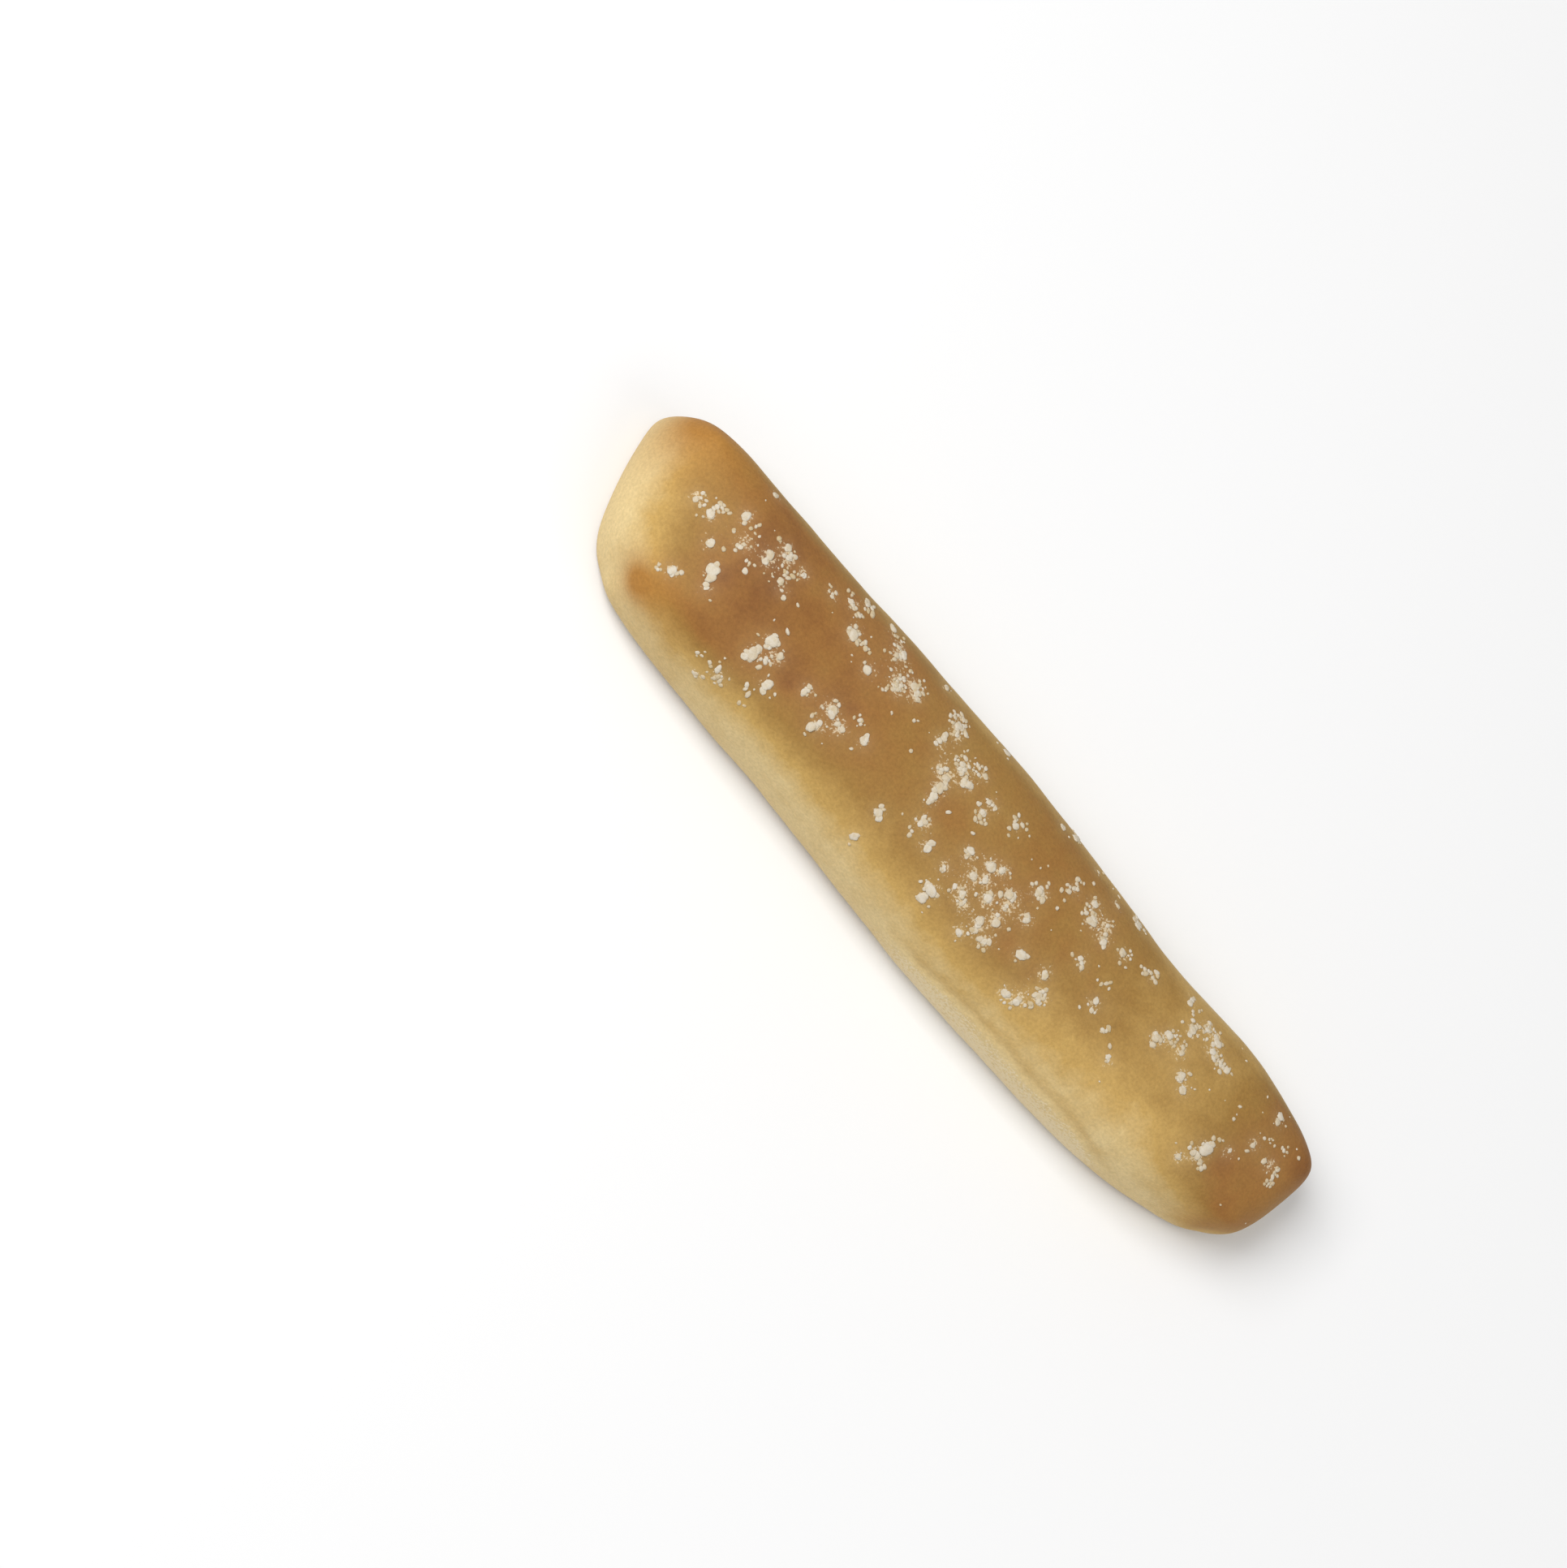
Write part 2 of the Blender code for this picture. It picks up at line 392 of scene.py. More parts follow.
def paint(mesh, name, values):
    """Stores one value a point on the mesh, for its material to read."""
    layer = mesh.attributes.new(name, "FLOAT", "POINT")
    layer.data.foreach_set("value", np.asarray(values, dtype=np.float32))


def settle(piece):
    """Applies the piece's modifiers to its mesh."""
    graph = bpy.context.evaluated_depsgraph_get()
    settled = bpy.data.meshes.new_from_object(piece.evaluated_get(graph))
    raw = piece.data
    piece.modifiers.clear()
    piece.data = settled
    bpy.data.meshes.remove(raw)
    settled.name = piece.name


def new_piece(name, bm):
    """An object in the scene with the bmesh as its mesh."""
    mesh = bpy.data.meshes.new(name)
    bm.to_mesh(mesh)
    bm.free()
    piece = bpy.data.objects.new(name, mesh)
    bpy.context.scene.collection.objects.link(piece)
    return piece


def sight(settings):
    """The eye's place, and the axes along and across the stick that face it squarely."""
    toward = Vector((-math.tan(settings.left_tilt), -math.tan(settings.front_tilt), 1)).normalized()
    along = Vector((1, 0, 0))
    along = (along - along.dot(toward) * toward).normalized()
    return MIDDLE + toward * settings.distance, along, toward.cross(along)


def thrown(tree, settings, along, across):
    """Where something thrown from the eye's side lands: its place and the crust's normal there, or None."""
    eye, along_axis, across_axis = sight(settings)
    target = MIDDLE + along_axis * along + across_axis * across
    place, normal, _, _ = tree.ray_cast(eye, (target - eye).normalized())
    return None if place is None else (place, normal)


def surface_tree(piece):
    """A search tree over the piece's faces."""
    return BVHTree.FromObject(piece, bpy.context.evaluated_depsgraph_get())


# ---- Materials ----


def place_node(tree, kind, at, **settings):
    """A new node with these settings."""
    node = tree.nodes.new(kind)
    node.location = at
    for name, value in settings.items():
        setattr(node, name, value)
    return node


def new_group(name, inputs, outputs):
    """An empty node group with these named sockets, and its two end nodes."""
    group = bpy.data.node_groups.new(name, "ShaderNodeTree")
    for socket, default in inputs:
        made = group.interface.new_socket(socket, in_out="INPUT", socket_type="NodeSocketFloat")
        made.default_value = default
    for socket in outputs:
        group.interface.new_socket(socket, in_out="OUTPUT", socket_type="NodeSocketFloat")
    start = place_node(group, "NodeGroupInput", (-800, 0))
    end = place_node(group, "NodeGroupOutput", (400, 0))
    return group, start, end


def noise_of_size(group, start, socket, at, detail, roughness):
    """A noise texture in object space with lumps as wide as the group's named input."""
    where = place_node(group, "ShaderNodeTexCoord", (at[0] - 400, at[1] - 200))
    rate = place_node(group, "ShaderNodeMath", (at[0] - 200, at[1]), operation="DIVIDE")
    rate.inputs[0].default_value = 1
    group.links.new(start.outputs[socket], rate.inputs[1])
    lumps = place_node(group, "ShaderNodeTexNoise", at)
    lumps.inputs["Detail"].default_value = detail
    lumps.inputs["Roughness"].default_value = roughness
    group.links.new(where.outputs["Object"], lumps.inputs["Vector"])
    group.links.new(rate.outputs[0], lumps.inputs["Scale"])
    return lumps


def powdery_grain():
    """The group of fine relief and blotches that crust and flour share."""
    name = "Powdery grain"
    if name in bpy.data.node_groups:
        return bpy.data.node_groups[name]
    inputs = (("Grain size", 0.5 * MM), ("Blotch size", 3 * MM))
    group, start, end = new_group(name, inputs, ("Height", "Blotches"))
    grain = noise_of_size(group, start, "Grain size", (-200, 200), detail=4, roughness=0.65)
    blotches = noise_of_size(group, start, "Blotch size", (-200, -200), detail=3, roughness=0.55)
    group.links.new(grain.outputs["Fac"], end.inputs["Height"])
    group.links.new(blotches.outputs["Fac"], end.inputs["Blotches"])
    return group


def flour_dust():
    """The group that turns an amount of flour into a mask: specks over a thin even film."""
    name = "Flour dust"
    if name in bpy.data.node_groups:
        return bpy.data.node_groups[name]
    group, start, end = new_group(name, (("Amount", 0.0), ("Speck size", 0.7 * MM)), ("Mask",))
    specks = noise_of_size(group, start, "Speck size", (-200, 200), detail=3, roughness=0.6)
    total = place_node(group, "ShaderNodeMath", (0, 200), operation="ADD")
    group.links.new(specks.outputs["Fac"], total.inputs[0])
    group.links.new(start.outputs["Amount"], total.inputs[1])
    mask = place_node(group, "ShaderNodeMapRange", (200, 200), interpolation_type="SMOOTHSTEP")
    mask.inputs["From Min"].default_value = 0.82
    mask.inputs["From Max"].default_value = 0.95
    mask.inputs["To Max"].default_value = 0.55
    group.links.new(total.outputs[0], mask.inputs["Value"])
    film = place_node(group, "ShaderNodeMath", (300, 0), operation="MULTIPLY_ADD", use_clamp=True)
    film.inputs[1].default_value = 0.2
    group.links.new(start.outputs["Amount"], film.inputs[0])
    group.links.new(mask.outputs["Result"], film.inputs[2])
    group.links.new(film.outputs[0], end.inputs["Mask"])
    return group


def new_material(name):
    """An empty material, its node tree and its shader."""
    material = bpy.data.materials.new(name)
    material.use_nodes = True
    tree = material.node_tree
    return material, tree, tree.nodes["Principled BSDF"]


def use_group(tree, group, at, **values):
    """The group placed in a material, with values for its inputs."""
    node = place_node(tree, "ShaderNodeGroup", at, node_tree=group)
    for name, value in values.items():
        node.inputs[name.replace("_", " ")].default_value = value
    return node


def add_bump(tree, shader, height, strength, distance):
    """Relief in the shader's normal, from a height."""
    bump = place_node(tree, "ShaderNodeBump", (-200, -400))
    bump.inputs["Strength"].default_value = strength
    bump.inputs["Distance"].default_value = distance
    tree.links.new(height, bump.inputs["Height"])
    tree.links.new(bump.outputs["Normal"], shader.inputs["Normal"])


def crust_material(settings, dust_colour):
    """Baked colours with painted shade from the mesh's browning, with blotches, fine grain and a film of
    flour.
    """
    material, tree, shader = new_material("crust")
    grain = use_group(tree, powdery_grain(), (-1200, 0), Grain_size=0.5 * MM, Blotch_size=3.5 * MM)
    browning = place_node(tree, "ShaderNodeAttribute", (-1200, 300), attribute_name="browning")
    flour = place_node(tree, "ShaderNodeAttribute", (-1200, -300), attribute_name="flour")

    blotches = place_node(tree, "ShaderNodeMapRange", (-1000, 300))
    blotches.inputs["To Min"].default_value = -0.12
    blotches.inputs["To Max"].default_value = 0.12
    tree.links.new(grain.outputs["Blotches"], blotches.inputs["Value"])
    blotched = place_node(tree, "ShaderNodeMath", (-900, 300), operation="ADD")
    tree.links.new(blotches.outputs["Result"], blotched.inputs[0])
    tree.links.new(browning.outputs["Fac"], blotched.inputs[1])
    ramp = place_node(tree, "ShaderNodeValToRGB", (-800, 300))
    first, last = ramp.color_ramp.elements
    first.position = 0.05
    first.color = (*settings.pale, 1)
    last.color = (*settings.dark, 1)
    for place, colour in ((0.32, settings.straw), (0.60, settings.golden), (0.82, settings.brown)):
        ramp.color_ramp.elements.new(place).color = (*colour, 1)
    tree.links.new(blotched.outputs[0], ramp.inputs["Fac"])

    amber = place_node(tree, "ShaderNodeAttribute", (-800, 500), attribute_name="amber")
    spotted = place_node(tree, "ShaderNodeMix", (-600, 400), data_type="RGBA")
    spotted.inputs[7].default_value = (*settings.amber, 1)
    tree.links.new(amber.outputs["Fac"], spotted.inputs[0])
    tree.links.new(ramp.outputs["Color"], spotted.inputs[6])

    shade = place_node(tree, "ShaderNodeMapRange", (-800, 0))
    shade.inputs["To Min"].default_value = 0.70
    shade.inputs["To Max"].default_value = 1.30
    tree.links.new(grain.outputs["Height"], shade.inputs["Value"])
    grained = place_node(tree, "ShaderNodeHueSaturation", (-500, 300))
    tree.links.new(shade.outputs["Result"], grained.inputs["Value"])
    tree.links.new(spotted.outputs[2], grained.inputs["Color"])

    dust = use_group(tree, flour_dust(), (-800, -300), Speck_size=0.45 * MM)
    tree.links.new(flour.outputs["Fac"], dust.inputs["Amount"])
    dusted = place_node(tree, "ShaderNodeMix", (-300, 200), data_type="RGBA")
    dusted.inputs[7].default_value = (*dust_colour, 1)
    tree.links.new(dust.outputs["Mask"], dusted.inputs[0])
    tree.links.new(grained.outputs["Color"], dusted.inputs[6])
    tree.links.new(dusted.outputs[2], shader.inputs["Base Color"])

    rough = place_node(tree, "ShaderNodeMapRange", (-500, -100))
    rough.inputs["To Min"].default_value = 0.62
    rough.inputs["To Max"].default_value = 0.9
    tree.links.new(dust.outputs["Mask"], rough.inputs["Value"])
    tree.links.new(rough.outputs["Result"], shader.inputs["Roughness"])
    shader.inputs["Specular IOR Level"].default_value = 0.15
    add_bump(tree, shader, grain.outputs["Height"], strength=0.5, distance=0.12 * MM)
    return material


def flour_material(settings):
    """Matt flour, slightly uneven in tone."""
    name = "flour"
    if name in bpy.data.materials:
        return bpy.data.materials[name]
    material, tree, shader = new_material(name)
    grain = use_group(tree, powdery_grain(), (-900, 0), Grain_size=0.2 * MM, Blotch_size=0.6 * MM)
    each = place_node(tree, "ShaderNodeAttribute", (-900, 300), attribute_name="toasting")
    mottle = place_node(tree, "ShaderNodeMapRange", (-600, 0))
    mottle.inputs["From Min"].default_value = 0.3
    mottle.inputs["From Max"].default_value = 0.7
    mottle.inputs["To Min"].default_value = -0.3
    mottle.inputs["To Max"].default_value = 0.3
    tree.links.new(grain.outputs["Blotches"], mottle.inputs["Value"])
    toasting = place_node(tree, "ShaderNodeMath", (-450, 200), operation="ADD", use_clamp=True)
    tree.links.new(each.outputs["Fac"], toasting.inputs[0])
    tree.links.new(mottle.outputs["Result"], toasting.inputs[1])
    toasted = place_node(tree, "ShaderNodeMix", (-300, 200), data_type="RGBA")
    toasted.inputs[6].default_value = (*settings.colour, 1)
    toasted.inputs[7].default_value = (*settings.toasted, 1)
    tree.links.new(toasting.outputs[0], toasted.inputs[0])
    tree.links.new(toasted.outputs[2], shader.inputs["Base Color"])
    shader.inputs["Roughness"].default_value = 0.92
    shader.inputs["Specular IOR Level"].default_value = 0.2
    add_bump(tree, shader, grain.outputs["Height"], strength=0.6, distance=0.08 * MM)
    return material


# ---- Crust ----


def smooth_stick(settings):
    """The frame's solid as one fine even skin, flat underneath."""
    bm = bmesh.new()
    bm.from_mesh(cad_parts[NODE].data)
    bmesh.ops.remove_doubles(bm, verts=bm.verts, dist=0.001 * MM)
    square = math.radians(40)
    bmesh.ops.join_triangles(bm, faces=bm.faces, angle_face_threshold=square, angle_shape_threshold=square)
    crust = new_piece("crust", bm)
    crust.modifiers.new("round", "SUBSURF").levels = 1
    skin = crust.modifiers.new("skin", "REMESH")
    skin.mode = "VOXEL"
    skin.voxel_size = settings.fineness
    soften = crust.modifiers.new("soften", "SMOOTH")
    soften.iterations = 8
    settle(crust)
    return crust


def distances(at, place):
    """How far each point is from a place, in mm."""
    return np.linalg.norm(at - place, axis=1) / MM


def front_fold(at, facing):
    """How far each point is into the floury skirt, the crease above it and the shade painted just above the
    crease.
    """
    x, _, z = at.T / MM
    ragged = 0.7 * wander(at, 8 * MM, NOISE_AT["ragged"]) + 0.5 * wander(at, 1.5 * MM, NOISE_AT["frayed"])
    below = np.interp(x, *zip(*CREASE)) + ragged - z
    folded = smoothstep(-6, 12, x) * smoothstep(56, 47, x) * smoothstep(0.2, 0.7, -facing[:, 1])
    skirt = smoothstep(-0.8, 1.2, below) * folded
    crease = np.exp(-(((below + 0.7) / 0.7) ** 2)) * folded
    # Painted shade just above the crease.
    browner = np.exp(-(((below + 1.6) / 1.5) ** 2)) * folded
    return skirt, crease, browner


def crust_height(at, hollows, skirt, crease, settings):
    """How far the crust rises or sinks at each point."""
    height = settings.swell_depth * wander(at, settings.swell_size, NOISE_AT["swell"])
    height += settings.ripple_depth * wander(at, settings.ripple_size, NOISE_AT["ripple"])
    for (_, _, reach, depth), (place, _) in hollows:
        height -= depth * MM * np.exp(-1.5 * (distances(at, place) / reach) ** 2)
    above_foot = smoothstep(0.0, 2.5, at[:, 2] / MM)
    return height * above_foot + settings.skirt_swell * skirt - settings.crease_depth * crease


def crown_of(at, facing):
    """How much of the top's browning each point gets, from 0 to 1: most where the crust is level, and more as
    painted shade on the front flank near the left end.
    """
    x = at[:, 0] / MM
    out_x, out_y, up = facing.T
    front = smoothstep(0.2, 0.7, -out_y)
    near_front = smoothstep(0.0, 0.4, -out_y)
    lean = up + LEAN["far edge"] * smoothstep(-0.1, 0.5, out_y)
    lean += LEAN["right face"] * smoothstep(0.1, 0.7, out_x)
    lean += LEAN["right end"] * smoothstep(56, 73, x)
    # Painted shade on the front flank near the left end.
    lean += LEAN["left shoulder shade"] * smoothstep(-36, -54, x) * smoothstep(-66, -59, x) * front
    lean += LEAN["left front"] * near_front * smoothstep(-46, -62, x)
    lean += LEAN["right front"] * near_front * smoothstep(10, 26, x) * smoothstep(58, 48, x)
    return np.clip(lean, 0, 1) ** CROWN_POWER


def crust_browning_and_shade(at, facing, hollows, marks, painted_crease_shade):
    """How brown the crust is at each point, from 0, pale, to 1, dark, with shade painted in, and how far it
    is amber.
    """
    x, _, z = at.T / MM
    out_x, out_y, up = facing.T
    front = smoothstep(0.2, 0.7, -out_y)
    top = np.interp(x, *zip(*BROWNING))
    browning = BAKED_AND_SHADED["least"] + (top - BAKED_AND_SHADED["least"]) * crown_of(at, facing)
    browning += BAKED_AND_SHADED["left face"] * smoothstep(0.35, 0.9, -out_x) * smoothstep(-68, -76, x)
    browning += BAKED_AND_SHADED["left foot"] * smoothstep(0.3, 0.8, -out_x) * smoothstep(0.0, -0.5, up)
    # Painted shade low on the front flank near the left end.
    foot = front * smoothstep(10, 5, z) * smoothstep(-25, -40, x) * smoothstep(-70, -60, x)
    # The crease term is painted shade just above the crease.
    browning += BAKED_AND_SHADED["front foot shade"] * foot + BAKED_AND_SHADED["crease"] * painted_crease_shade
    amber = np.zeros(len(at))
    for (_, _, reach, browner, ambered), (place, _) in marks:
        near = np.exp(-((distances(at, place) / reach) ** 2))
        browning += browner * near
        amber += ambered * near
    # Painted shade in each hollow, with some browning, darker where it is deeper.
    for (_, _, reach, depth), (place, _) in hollows:
        browning += BAKED_AND_SHADED["hollow"] * depth * np.exp(-1.5 * (distances(at, place) / reach) ** 2)
    browning += BAKED_AND_SHADED["patches"] * wander(at, 16 * MM, NOISE_AT["patches"])
    browning += BAKED_AND_SHADED["mottle"] * wander(at, 6 * MM, NOISE_AT["mottle"])
    underneath = smoothstep(0.5, 0.9, -up)
    browning = browning * (1 - underneath) + BAKED_AND_SHADED["underneath"] * underneath
    return browning, np.minimum(amber, 1)


def crust_flour(at, facing, clumps, lace, skirt):
    """How much fine flour lies on the crust at each point."""
    x, _, z = at.T / MM
    _, out_y, up = facing.T
    front = smoothstep(0.2, 0.7, -out_y)
    flour = FILM["underneath"] * smoothstep(0.5, 0.9, -up)
    flour += FILM["top"] * smoothstep(0.6, 0.95, up) * smoothstep(-66, -50, x)
    flour += FILM["flank"] * front * smoothstep(13, 6, z) * smoothstep(62, 50, x) + FILM["skirt"] * skirt
    nearest = np.full(len(at), np.inf)
    crowd = np.zeros(len(at))
    for _, (place, _) in clumps:
        away = distances(at, place)
        nearest = np.minimum(nearest, away)
        crowd += np.exp(-((away / CROWD_REACH) ** 2))
    for (_, _, length, width, _), (place, _) in lace:
        reach = (length + width) / 4
        crowd += LACE_CROWD * np.exp(-((distances(at, place) / reach) ** 2))
    flour += FILM["clump"] * np.exp(-((nearest / CLUMP_REACH) ** 2))
    return flour + FILM["crowd"] * np.minimum(crowd, FULL_CROWD)


def finish_crust(crust, laid, settings):
    """Moves the skin's points into relief and stores its browning with painted shade, amber and flour."""
    mesh = crust.data
    at, facing = points_of(mesh)
    skirt, crease, painted_crease_shade = front_fold(at, facing)
    height = crust_height(at, laid["hollows"], skirt, crease, settings)
    browning, amber = crust_browning_and_shade(at, facing, laid["hollows"], laid["marks"], painted_crease_shade)
    flour = crust_flour(at, facing, laid["clumps"], laid["lace"], skirt)

    raised = at + facing * height[:, None]
    base = (raised[:, 2] < 0.3 * MM) & (facing[:, 2] < -0.8)
    raised[base, 2] = 0
    raised[:, 2] = np.maximum(raised[:, 2], 0)
    mesh.vertices.foreach_set("co", raised.reshape(-1))
    # The browning attribute holds painted shade as well as browning.
    for name, values in (("browning", browning), ("amber", amber), ("flour", flour)):
        paint(mesh, name, values)
    mesh.shade_smooth()
    mesh.update()


# ---- Flour ----


def lay_out(tree, stage, rows):
    """Each row that lands on the crust, with its place and normal there."""
    laid = []
    for row in rows:
        landed = thrown(tree, stage, row[0] * MM, row[1] * MM)
        if landed:
            laid.append((row, landed))
    return laid


def back_clumps(rng):
    """Clumps scattered over the far side: place on the X axis, lean, length, width, turn and closeness."""
    rows = []
    for _ in range(FAR_CLUMPS):
        x = rng.uniform(-56, 66)
        lean = rng.triangular(-85, 5, -22)
        length, width = rng.uniform(1.4, 3.2), rng.uniform(1.0, 1.9)
        rows.append((x, lean, length, width, rng.uniform(-90, 90), rng.uniform(0.5, 1)))
    return rows


def land_on_back(tree, x, lean):
    """Where a line from above and behind, leaning by this many degrees, lands on the crust at x."""
    slope = math.radians(lean)
    toward = Vector((0, -math.sin(slope), math.cos(slope)))
    core = Vector((x * MM, MIDDLE.y, 0.55 * HIGH.z))
    well_outside = core + toward * 0.1
    place, normal, _, _ = tree.ray_cast(well_outside, -toward)
    return None if place is None else (place, normal)


def ball(subdivisions):
    """The points and faces of a ball of radius 1."""
    bm = bmesh.new()
    bmesh.ops.create_icosphere(bm, subdivisions=subdivisions, radius=1)
    bm.verts.index_update()
    points = np.array([vert.co[:] for vert in bm.verts])
    faces = np.array([[vert.index for vert in face.verts] for face in bm.faces])
    bm.free()
    return points, faces


def crumb_of(shape, landed, radii, rng):
    """A ball's points made into one crumb: flat-topped, lumpy, turned at random and set into the crust."""
    reach = np.hypot(shape[:, 0], shape[:, 1])
    rounder = (reach**CRUMB_POWER + np.abs(shape[:, 2]) ** CRUMB_POWER) ** (1 / CRUMB_POWER)
    flat = shape / rounder[:, None]
    place = rng.uniform(0, 50)
    lumps = 1 + sum(depth * wander(shape, size, place) for depth, size in CRUMB_LUMPS)
    spot, normal = landed
    stand = normal.to_track_quat("Z", "X").to_matrix() @ Matrix.Rotation(rng.uniform(0, 2 * math.pi), 3, "Z")
    points = flat * lumps[:, None] * np.array(radii) * MM
    return points @ np.array(stand).T + np.array(spot)


def new_flour(name, crumbs, settings, rng):
    """One mesh of many crumbs, given as pairs of points and faces, each toasted by its own amount."""
    counts = np.cumsum([0] + [len(points) for points, _ in crumbs])
    faces = np.concatenate([faces + first for (_, faces), first in zip(crumbs, counts)])
    mesh = bpy.data.meshes.new(name)
    mesh.from_pydata(np.concatenate([points for points, _ in crumbs]).tolist(), [], faces.tolist())
    toasted = [np.full(len(points), rng.uniform(*TOASTING[name])) for points, _ in crumbs]
    paint(mesh, "toasting", np.concatenate(toasted))
    mesh.shade_smooth()
    mesh.materials.append(flour_material(settings))
    piece = bpy.data.objects.new(name, mesh)
    bpy.context.scene.collection.objects.link(piece)
    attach(piece, BODY)


def spot_in_oval(half_length, half_width, angle, rng):
    """A random spot in an oval, in the direction of the angle."""
    reach = math.sqrt(rng.random())
    return reach * math.cos(angle) * half_length, reach * math.sin(angle) * half_width


def roomiest(spots, half_length, half_width, rng):
    """Of three random spots in an oval, the one with the most room round it."""
    best, most_room = None, -1
    for _ in range(3):
        spot = spot_in_oval(max(half_length, 0.3), max(half_width, 0.3), rng.uniform(0, 2 * math.pi), rng)
        room = min((math.dist(spot, other) for other in spots), default=1)
        if room > most_room:
            best, most_room = spot, room
    return best


def beside(tree, landed, a, b):
    """The crust's place and normal this far along and across from a landing place, in mm."""
    place, normal = landed
    along = Vector((1, 0, 0))
    along = (along - along.dot(normal) * normal).normalized()
    near, facing, _, _ = tree.find_nearest(place + (along * a + normal.cross(along) * b) * MM)
    return near, facing


def clump_crumbs(tree, row, landed, settings, rng):
    """One clump's crumbs: a big one and others round it, fewer and smaller where the clump is loose."""
    _, _, length, width, turn, closeness = row
    shape, faces = ball(3)
    crumb = settings.crumb / MM
    turn = math.radians(turn)
    core = CORE_SHARE * width * closeness**2
    thick = 2 * settings.flatness
    radii = (core * rng.uniform(1.0, 1.4), core, core * thick * 0.9)
    crumbs = [(crumb_of(shape, landed, radii, rng), faces)]
    spots = [(0, 0)]
    left_over = FULLNESS * closeness * length * width - (2 * core) ** 2
    for _ in range(max(1, round(left_over / crumb**2))):
        radius = crumb / 2 * rng.triangular(*CRUMB_SIZES) * (0.70 + 0.30 * closeness)
        a, b = roomiest(spots, length / 2 - radius * 0.8, width / 2 - radius * 0.8, rng)
        spots.append((a, b))
        a, b = a * math.cos(turn) - b * math.sin(turn), a * math.sin(turn) + b * math.cos(turn)
        radii = (radius * rng.uniform(1.0, 1.35), radius, radius * thick * rng.uniform(0.8, 1.2))
        crumbs.append((crumb_of(shape, beside(tree, landed, a, b), radii, rng), faces))
    return crumbs


def lace_crumbs(tree, row, landed, rng):
    """A patch's small crumbs, most of them beside one of the last few and the others somewhere new."""
    _, _, length, width, count = row
    shape, faces = ball(2)
    spots, crumbs = [], []
    for _ in range(count):
        angle = rng.uniform(0, 2 * math.pi)
        if spots and rng.random() < CHAIN_CHANCE:
            a, b = rng.choice(spots[-CHAIN_MEMORY:])
            step = rng.uniform(*CHAIN_STEP)
            spot = (a + step * math.cos(angle), b + step * math.sin(angle))
        else:
            spot = spot_in_oval(length / 2, width / 2, angle, rng)
        spots.append(spot)
        radius = rng.triangular(*LACE_RADII)
        radii = (radius * rng.uniform(1.0, 1.5), radius, radius * rng.uniform(0.4, 0.6))
        crumbs.append((crumb_of(shape, beside(tree, landed, *spot), radii, rng), faces))
    return crumbs


def land_grain(tree, stage, laid, rng):
    """A place for one loose grain: by a clump, anywhere on the top or on the far side."""
    pick = rng.random()
    if pick < GRAINS_BY_CLUMPS:
        row, _ = rng.choice(laid)
        spread = 0.4 * max(row[2], row[3]) + 0.35
        return thrown(tree, stage, (row[0] + rng.gauss(0, spread)) * MM, (row[1] + rng.gauss(0, spread)) * MM)
    if pick < GRAINS_BY_CLUMPS + GRAINS_ON_TOP:
        return thrown(tree, stage, rng.uniform(-62, 74) * MM, rng.triangular(-9, 17, 6) * MM)
    return land_on_back(tree, rng.uniform(-58, 72), rng.triangular(-80, 0, -30))


def loose_grains(tree, stage, laid, count, sizes, rng):
    """Many loose grains, as pairs of points and faces."""
    shape, faces = ball(2)
    grains = []
    while len(grains) < count:
        landed = land_grain(tree, stage, laid, rng)
        if landed is None:
            continue
        radius = rng.triangular(*sizes, sizes[0])
        stretch = (rng.uniform(0.7, 1.4), rng.uniform(0.7, 1.2), rng.uniform(0.5, 0.8))
        radii = [radius * share for share in stretch]
        grains.append((crumb_of(shape, landed, radii, rng), faces))
    return grains


# ---- Operators ----


def laid_clumps(piece, context):
    """Every clump with its landing place, those seen first and then those on the far side."""
    tree = surface_tree(piece)
    laid = lay_out(tree, context.scene.breadstick_stage, CLUMPS)
    rng = random.Random(context.scene.breadstick_flour.seed)
    far = [(row, land_on_back(tree, row[0], row[1])) for row in back_clumps(rng)]
    return tree, laid, [(row, landed) for row, landed in far if landed]


class BREADSTICK_OT_crust(bpy.types.Operator):
    """Shape the crust over the frame's solid and bake its colours, with shade painted in"""

    bl_idname = "breadstick.crust"
    bl_label = "Crust"

    def execute(self, context):
        scene = context.scene
        crust = smooth_stick(scene.breadstick_crust)
        tree, laid, far = laid_clumps(crust, context)
        everything = {"clumps": laid + far}
        for name, rows in (("hollows", HOLLOWS), ("marks", MARKS), ("lace", LACE)):
            everything[name] = lay_out(tree, scene.breadstick_stage, rows)
        finish_crust(crust, everything, scene.breadstick_crust)
        crust.data.materials.append(crust_material(scene.breadstick_crust, scene.breadstick_flour.dust))
        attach(crust, BODY)
        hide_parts(NODE)
        return {"FINISHED"}


class BREADSTICK_OT_flour_clumps(bpy.types.Operator):
    """Heap the clumps of flour on the crust"""

    bl_idname = "breadstick.flour_clumps"
    bl_label = "Flour clumps"

    def execute(self, context):
        settings = context.scene.breadstick_flour
        tree, laid, far = laid_clumps(bpy.data.objects["crust"], context)
        rng = random.Random(settings.seed + 1)
        crumbs = []
        for row, landed in laid + far:
            crumbs += clump_crumbs(tree, row, landed, settings, rng)
        new_flour("flour_clumps", crumbs, settings, rng)
        return {"FINISHED"}


